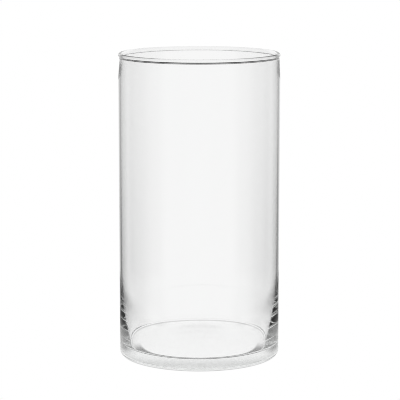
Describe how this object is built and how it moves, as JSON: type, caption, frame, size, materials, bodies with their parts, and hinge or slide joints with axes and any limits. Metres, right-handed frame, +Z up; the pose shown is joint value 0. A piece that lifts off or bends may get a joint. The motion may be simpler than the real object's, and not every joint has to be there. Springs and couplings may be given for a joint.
{
  "type": "cylinder vase",
  "caption": "Straight clear glass cylinder vase, open at the top, with a rounded lip and a wall that thickens into a heavy flat base.",
  "frame": {"origin": "centre of the foot ring, on the surface the vase stands on", "axes": "+Z up along the vase's own axis, out of its mouth; X and Y lie across it and are interchangeable, because the vase is round"},
  "size_m": [0.1585, 0.1584, 0.3],
  "materials": {
    "clear_glass": "clear, fire-polished"
  },
  "bodies": {
    "root": {"glass_cylinder": "clear_glass"}
  },
  "joints": []
}
